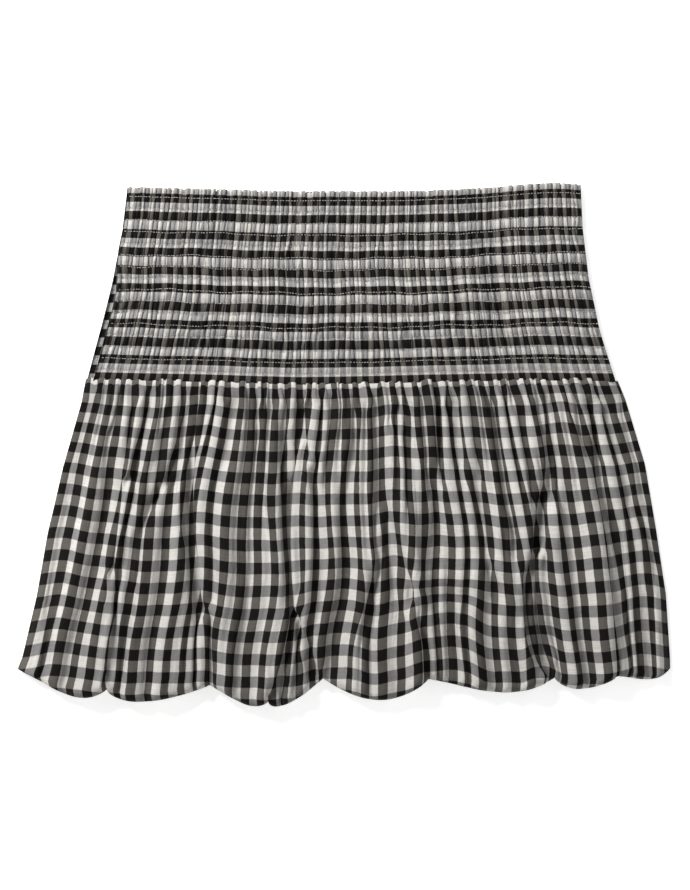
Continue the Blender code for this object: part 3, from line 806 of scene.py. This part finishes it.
def shell_object(name, points, cloth, outward, material):
    """A closed thin shell on a grid of points, with the cloth's own coordinates on it."""
    rows, columns = points.shape[:2]
    offset = sheet_normals(points) * outward * SHELL / 2
    sides = np.concatenate([(points + offset).reshape(-1, 3), (points - offset).reshape(-1, 3)])
    index = np.arange(rows * columns).reshape(rows, columns)
    corner = [index[:-1, :-1], index[1:, :-1], index[1:, 1:], index[:-1, 1:]]
    outer = np.stack(corner, axis=2).reshape(-1, 4)
    inner = outer[:, ::-1] + rows * columns
    loop = np.concatenate([index[:, 0], index[-1, 1:], index[-2::-1, -1], index[0, -2:0:-1]])
    following = np.roll(loop, -1)
    rim = np.stack([following, loop, loop + rows * columns, following + rows * columns], axis=1)
    faces = np.concatenate([outer, inner, rim])
    if outward < 0:
        faces = faces[:, ::-1]

    pattern = np.zeros((2 * rows * columns, 3))
    pattern[:, :cloth.shape[2]] = np.tile(cloth.reshape(-1, cloth.shape[2]), (2, 1))
    mesh = smooth_mesh(name, sides.tolist(), faces.tolist(), material, pattern)

    # The chart's lower part is the outer side, the strip above it the inner side, and its top the rim.
    run = np.linspace(0.0, 1.0, columns)[None, :] + np.zeros((rows, 1))
    fall = np.linspace(0.0, 1.0, rows)[:, None] + np.zeros((1, columns))
    chart = np.stack([run, fall], axis=2).reshape(-1, 2)
    outer_chart = chart * (1.0, 0.84)
    inner_chart = chart * (1.0, 0.13) + (0.0, 0.86)
    rim_run = np.linspace(0.0, 1.0, len(loop) + 1)
    flat_map = np.concatenate([outer_chart[outer], inner_chart[inner - rows * columns]])
    strip = np.empty((len(loop), 4, 2))
    strip[:, :, 0] = np.stack([rim_run[1:], rim_run[:-1], rim_run[:-1], rim_run[1:]], axis=1)
    strip[:, :, 1] = (0.994, 0.994, 0.998, 0.998)
    corners = np.concatenate([flat_map, strip])
    if outward < 0:
        corners = corners[:, ::-1]
    mesh.uv_layers.new(name="OFBake").data.foreach_set("uv", corners.ravel())
    return link(name, mesh)


def smooth_mesh(name, vertices, faces, material, cloth=None):
    """A smooth mesh with one material and, where given, the cloth's own coordinates at its points."""
    mesh = bpy.data.meshes.new(name)
    mesh.from_pydata(vertices, [], faces)
    mesh.shade_smooth()
    mesh.materials.append(material)
    if cloth is not None:
        mesh.attributes.new("cloth", "FLOAT_VECTOR", "POINT").data.foreach_set("vector", cloth.ravel())
    return mesh


def link(name, mesh):
    """Puts a mesh into the scene as an object."""
    piece = bpy.data.objects.new(name, mesh)
    bpy.context.scene.collection.objects.link(piece)
    return piece


class Nodes:
    """Builds a material's node tree in a few calls."""

    def __init__(self, name):
        self.material = bpy.data.materials.new(name)
        self.material.use_nodes = True
        self.tree = self.material.node_tree
        self.shader = self.tree.nodes["Principled BSDF"]

    def plug(self, socket, value):
        if isinstance(value, bpy.types.NodeSocket):
            self.tree.links.new(value, socket)
        else:
            socket.default_value = value

    def shade(self, socket, value):
        self.plug(self.shader.inputs[socket], value)

    def add(self, kind, *values):
        node = self.tree.nodes.new("ShaderNode" + kind)
        for socket, value in zip(node.inputs, values):
            self.plug(socket, value)
        return node

    def cloth_place(self):
        """The cloth's own coordinates, together and one by one."""
        source = self.add("Attribute")
        source.attribute_name = "cloth"
        place = source.outputs["Vector"]
        return place, self.add("SeparateXYZ", place).outputs

    def math(self, operation, *values):
        node = self.add("Math", *values)
        node.operation = operation
        return node.outputs[0]

    def wave(self, along, length):
        return self.math("SINE", self.math("MULTIPLY", along, math.tau / length))

    def ramp(self, value, low, high, start=0.0, end=1.0, interpolation="SMOOTHSTEP"):
        node = self.add("MapRange", value, low, high, start, end)
        node.interpolation_type = interpolation
        return node.outputs[0]

    def spread(self, noise, low, high):
        """Noise, nearly all of it from 0.3 to 0.7, spread from low to high."""
        return self.ramp(noise, 0.3, 0.7, low, high, "LINEAR")

    def mix(self, share, first, second):
        node = self.add("Mix", share)
        node.data_type = "RGBA"
        self.plug(node.inputs[6], first)
        self.plug(node.inputs[7], second)
        return node.outputs[2]

    def noise(self, place, scale, detail=2.0, roughness=0.5):
        scaled = self.add("VectorMath", place, scale)
        scaled.operation = "MULTIPLY"
        node = self.add("TexNoise", scaled.outputs[0])
        for socket, value in (("Scale", 1.0), ("Detail", detail), ("Roughness", roughness)):
            node.inputs[socket].default_value = value
        return node.outputs[0]

    def bump(self, height, distance, normal=None):
        node = self.add("Bump")
        self.plug(node.inputs["Distance"], distance)
        self.plug(node.inputs["Height"], height)
        if normal is not None:
            self.plug(node.inputs["Normal"], normal)
        return node.outputs[0]


def gingham(name, repeats, first_row, greys, crinkle, shirred):
    """Woven black and white check, read from the cloth's own coordinates.

    Repeats are across and down. Greys are where a black column crosses a white row, and the reverse.
    Crinkle is how often the fine wrinkles come across and down, in each metre, and how high they are.
    Shirred cloth is drawn in along its elastic rows, at the whole numbers of the third coordinate, with
    painted shade along those rows and a painted-shade line along its first side edge.
    """
    nodes = Nodes(name)
    place, (across, down, channel) = nodes.cloth_place()

    waver = nodes.noise(place, (260.0, 260.0, 0.0), 2.0)
    waver = nodes.math("MULTIPLY_ADD", waver, 0.0006, -0.0003)

    def stripe(along, repeat, first, dark_share):
        turn = nodes.math("MULTIPLY_ADD", nodes.math("ADD", along, waver), math.tau / repeat,
                          -math.tau * first)
        edge = math.cos(math.pi * dark_share)
        return nodes.ramp(nodes.math("COSINE", turn), edge - 0.12, edge + 0.12)

    dark_column = stripe(across, repeats[0], FIRST_COLUMN, 0.57 if shirred else 0.5)
    dark_row = stripe(down, repeats[1], first_row, 0.5)
    on_white = nodes.mix(dark_column, WHITE_ON_WHITE, greys[0])
    on_black = nodes.mix(dark_column, greys[1], BLACK_ON_BLACK)
    colour = nodes.mix(dark_row, on_white, on_black)

    weft = nodes.noise(place, (70.0, 1500.0, 0.0), 3.0, 0.6)
    warp = nodes.noise(place, (1500.0, 70.0, 0.0), 3.0, 0.6)
    patchy = nodes.noise(place, (45.0, 45.0, 0.0), 3.0)
    tone = nodes.math("ADD", nodes.spread(weft, 0.86, 1.12), nodes.spread(warp, -0.07, 0.07))
    tone = nodes.math("ADD", tone, nodes.spread(patchy, -0.05, 0.05))
    if shirred:
        # Painted shade: the cloth is darkened in dashes along each elastic row, standing in for the shadow
        # of the thread and its groove; the same mask also dents the bump there.
        groove_and_shade = nodes.ramp(nodes.math("PINGPONG", channel, 0.5), 0.02, 0.11, 1.0, 0.0)
        needle = nodes.wave(across, NEEDLE_PITCH)
        groove_and_shade = nodes.math("MULTIPLY", groove_and_shade, nodes.ramp(needle, -0.6, 0.6, 0.45, 1.0))
        tone = nodes.math("MULTIPLY", tone, nodes.math("MULTIPLY_ADD", groove_and_shade, -0.35, 1.0))
        # Painted shade: a dark line along the side edge where the rows start, standing in for the shadow
        # under the curled edge.
        tone = nodes.math("MULTIPLY", tone, nodes.ramp(across, 0.0010, 0.0045, 0.25, 1.0))
    tinted = nodes.add("VectorMath", colour)
    tinted.operation = "SCALE"
    nodes.plug(tinted.inputs["Scale"], tone)
    nodes.shade("Base Color", tinted.outputs[0])

    weave = nodes.math("MULTIPLY", nodes.wave(across, YARN_PITCH), nodes.wave(down, YARN_PITCH))
    slub = nodes.math("ADD", weft, warp)
    wrinkle = nodes.noise(place, (crinkle.across, crinkle.down, 0.0), 3.0, 0.55)
    normal = nodes.bump(wrinkle, crinkle.height)
    if shirred:
        normal = nodes.bump(nodes.math("SUBTRACT", 1.0, groove_and_shade), 0.0003, normal)
    normal = nodes.bump(slub, 0.00010, normal)
    normal = nodes.bump(weave, 0.00003, normal)
    nodes.shade("Normal", normal)
    nodes.shade("Roughness", nodes.spread(weft, 0.82, 0.95))
    nodes.shade("Specular IOR Level", 0.12)
    nodes.shade("Sheen Weight", 0.03)
    nodes.shade("Sheen Roughness", 0.5)
    return nodes.material


def twisted_thread():
    """Pale sewing thread with a fine twist."""
    nodes = Nodes("sewing_thread")
    where = nodes.add("TexCoord").outputs["Object"]
    fibre = nodes.noise(where, (3000.0, 9000.0, 3000.0), 2.0)
    shadow = tuple(0.75 * part for part in THREAD_GREY[:3]) + (1.0,)
    nodes.shade("Base Color", nodes.mix(fibre, shadow, THREAD_GREY))
    nodes.shade("Normal", nodes.bump(fibre, 0.00005))
    nodes.shade("Roughness", nodes.spread(fibre, 0.6, 0.8))
    return nodes.material


def ribbed_elastic():
    """White knitted elastic with fine ribs along the band."""
    nodes = Nodes("ribbed_elastic")
    place, (along, down, _) = nodes.cloth_place()
    rib = nodes.wave(down, 0.0012)
    loops = nodes.wave(along, 0.0009)
    grain = nodes.noise(place, (300.0, 900.0, 1.0), 3.0)
    # Painted shade: grey in the grooves between the ribs of the white elastic.
    nodes.shade("Base Color", nodes.mix(nodes.ramp(rib, -1.0, 0.4), ELASTIC_PAINTED_SHADE, ELASTIC_WHITE))
    normal = nodes.bump(nodes.math("ADD", rib, nodes.math("MULTIPLY", loops, 0.3)), 0.00015)
    nodes.shade("Normal", nodes.bump(grain, 0.0001, normal))
    nodes.shade("Roughness", nodes.spread(grain, 0.75, 0.9))
    return nodes.material


def lay_band():
    """Flattened ring of elastic between the returns' gathered edges."""
    around = np.linspace(0.0, math.tau, BAND_COLUMNS + 1)[:-1]
    down = np.linspace(0.0, 1.0, BAND_ROWS + 1)[:, None]
    y = BAND_TOP_Y + (BAND_BOTTOM_Y - BAND_TOP_Y) * down + 0.0 * around
    left, right = outline(y)
    reach = (right - left) / 2 - BAND_INSET
    x = (left + right) / 2 + reach * np.cos(around) * BAND_TIGHTNESS
    side = np.clip(np.sin(around) / BAND_TURN, -1.0, 1.0)
    middle = (back_return_z(x, y) + front_return_z(x, y)) / 2
    ripple = BAND_RIPPLE * np.sin(BAND_RIPPLES * around) * np.sin(math.pi * down)
    z = middle + side * (BAND_HALF_OPENING + ripple)
    return x, y, z, around


def make_band():
    """The band as a closed loop of thin elastic."""
    x, y, z, around = lay_band()
    rows, columns = x.shape
    points = np.stack([x, y, z], axis=2)
    ahead = np.roll(points, -1, axis=1) - np.roll(points, 1, axis=1)
    normals = np.cross(ahead, np.gradient(points, axis=0))
    normals /= np.linalg.norm(normals, axis=2, keepdims=True)
    offset = normals * BAND_HALF_THICKNESS
    sides = np.concatenate([(points + offset).reshape(-1, 3), (points - offset).reshape(-1, 3)])
    faces = []
    count = rows * columns
    for row in range(rows - 1):
        for column in range(columns):
            a = row * columns + column
            b = row * columns + (column + 1) % columns
            faces.append((a, b, b + columns, a + columns))
            faces.append((a + count, a + columns + count, b + columns + count, b + count))
    for column in range(columns):
        a, b = column, (column + 1) % columns
        faces.append((b, a, a + count, b + count))
        c, d = a + (rows - 1) * columns, b + (rows - 1) * columns
        faces.append((c, d, d + count, c + count))
    cloth = np.zeros((2 * count, 3))
    cloth[:, 0] = np.tile(np.tile(around * CLOTH_PER_RADIAN, rows), 2)
    cloth[:, 1] = np.tile((BAND_TOP_Y - y).ravel(), 2)
    mesh = smooth_mesh("hem_band_elastic", sides.tolist(), faces, ribbed_elastic(), cloth)
    return link("hem_band_elastic", mesh)


def add_stitches(name, points, material):
    """Dashes of thread along the elastic rows of a yoke panel, as one mesh."""
    vertices = []
    faces = []
    rng = np.random.default_rng(41)
    sides = 6
    ring = np.linspace(0, math.tau, sides, endpoint=False)
    for line in range(ELASTIC_ROWS):
        row = points[FRILL_ROWS + line * (1 + len(CHANNEL_PLACES))]
        laid = np.linspace(row[0, 0] + STITCH_MARGIN, row[-1, 0] - STITCH_MARGIN,
                           int((row[-1, 0] - row[0, 0]) / STITCH_PITCH))
        order = np.argsort(row[:, 0])
        for start in laid:
            start = start + rng.uniform(-STITCH_DRIFT, STITCH_DRIFT)
            run = start + STITCH_LENGTH * np.linspace(0, 1, len(STITCH_ARCH))
            y = np.interp(run, row[order, 0], row[order, 1]) + rng.uniform(-ROW_DRIFT, ROW_DRIFT)
            near = [row[np.abs(row[:, 0] - at) < CREST_REACH, 2].max(initial=row[0, 2]) for at in run]
            z = np.array(near) + SHELL / 2 + np.array(STITCH_ARCH)
            base = len(vertices)
            for px, py, pz in zip(run, y, z):
                for turn in ring:
                    vertices.append((px, py + THREAD_RADIUS * math.cos(turn),
                                     pz + THREAD_RADIUS * math.sin(turn)))
            for part in range(3):
                for side in range(sides):
                    a = base + part * sides + side
                    b = base + part * sides + (side + 1) % sides
                    faces.append((a, b, b + sides, a + sides))
            faces.append(tuple(base + side for side in range(sides))[::-1])
            faces.append(tuple(base + 3 * sides + side for side in range(sides)))
    return link(name, smooth_mesh(name, vertices, faces, material))


def make_skirt():
    """Every piece of the skirt, attached to the root body, with the CAD parts it stands for hidden."""
    puff_cloth = gingham("gingham_puff", (SHORT_REPEAT, LONG_REPEAT), PUFF_FIRST_ROW,
                         (BLACK_WARP, WHITE_WARP), PUFF_CRINKLE, False)
    yoke_cloth = gingham("gingham_yoke", (LONG_REPEAT, SHORT_REPEAT), YOKE_FIRST_ROW,
                         (YOKE_WHITE_WARP, BLACK_WARP), YOKE_CRINKLE, True)
    puff_front = shell_object("puff_front_cloth", *lay_puff(FRONT_PUFF), 1, puff_cloth)
    puff_back = shell_object("puff_back_cloth", *lay_puff(BACK_PUFF), -1, puff_cloth)
    front_points, front_cloth = lay_yoke(True)
    yoke_front = shell_object("yoke_front_cloth", front_points, front_cloth, 1, yoke_cloth)
    yoke_back = shell_object("yoke_back_cloth", *lay_yoke(False), -1, yoke_cloth)
    band = make_band()
    stitches = add_stitches("shirring_front", front_points, twisted_thread())

    for piece, node, material_slot in (
        (puff_front, "skirt_front", "gingham_cotton"),
        (puff_back, "skirt_back", "gingham_cotton"),
        (yoke_front, "yoke_front", "shirred_gingham"),
        (yoke_back, "yoke_back", "shirred_gingham"),
        (band, "hem_band", "band_elastic"),
    ):
        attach(piece, "root")
        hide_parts(node)
    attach(stitches, "root")


def make_stage():
    """Pale floor, soft studio light and a camera straight above."""
    paper = Nodes("paper")
    paper.shade("Base Color", (0.97, 0.97, 0.97, 1.0))
    paper.shade("Emission Color", WHITE)
    paper.shade("Emission Strength", 0.60)
    paper.shade("Roughness", 0.9)
    corners = [(-FLOOR_REACH, -FLOOR_REACH, 0), (FLOOR_REACH, -FLOOR_REACH, 0),
               (FLOOR_REACH, FLOOR_REACH, 0), (-FLOOR_REACH, FLOOR_REACH, 0)]
    floor = link("floor", smooth_mesh("floor", corners, [(0, 1, 2, 3)], paper.material))

    world = bpy.data.worlds.new("studio")
    bpy.context.scene.world = world
    world.use_nodes = True
    sky = world.node_tree.nodes["Background"].inputs
    sky["Color"].default_value = WHITE
    sky["Strength"].default_value = 0.29
    for softbox in SOFTBOXES:
        light = bpy.data.lights.new(softbox.name, "AREA")
        light.shape = "SQUARE"
        light.size = softbox.size
        light.energy = softbox.power
        lamp = bpy.data.objects.new(softbox.name, light)
        lamp.location = softbox.x, softbox.y, softbox.z
        lamp.rotation_euler = (-lamp.location).to_track_quat("-Z", "Y").to_euler()
        bpy.context.scene.collection.objects.link(lamp)

    camera = bpy.data.objects.new("camera", bpy.data.cameras.new("camera"))
    camera.data.sensor_fit = "VERTICAL"
    camera.data.sensor_height = SENSOR_HEIGHT_MM
    camera.data.lens = SENSOR_HEIGHT_MM * CAMERA_DISTANCE / FRAME_HEIGHT
    camera.location = FRAME_X, FRAME_Y, CAMERA_DISTANCE + PUFF_MIDDLE_Z
    bpy.context.scene.collection.objects.link(camera)
    bpy.context.scene.camera = camera
    bpy.context.scene.view_settings.view_transform = "Standard"


make_skirt()
make_stage()
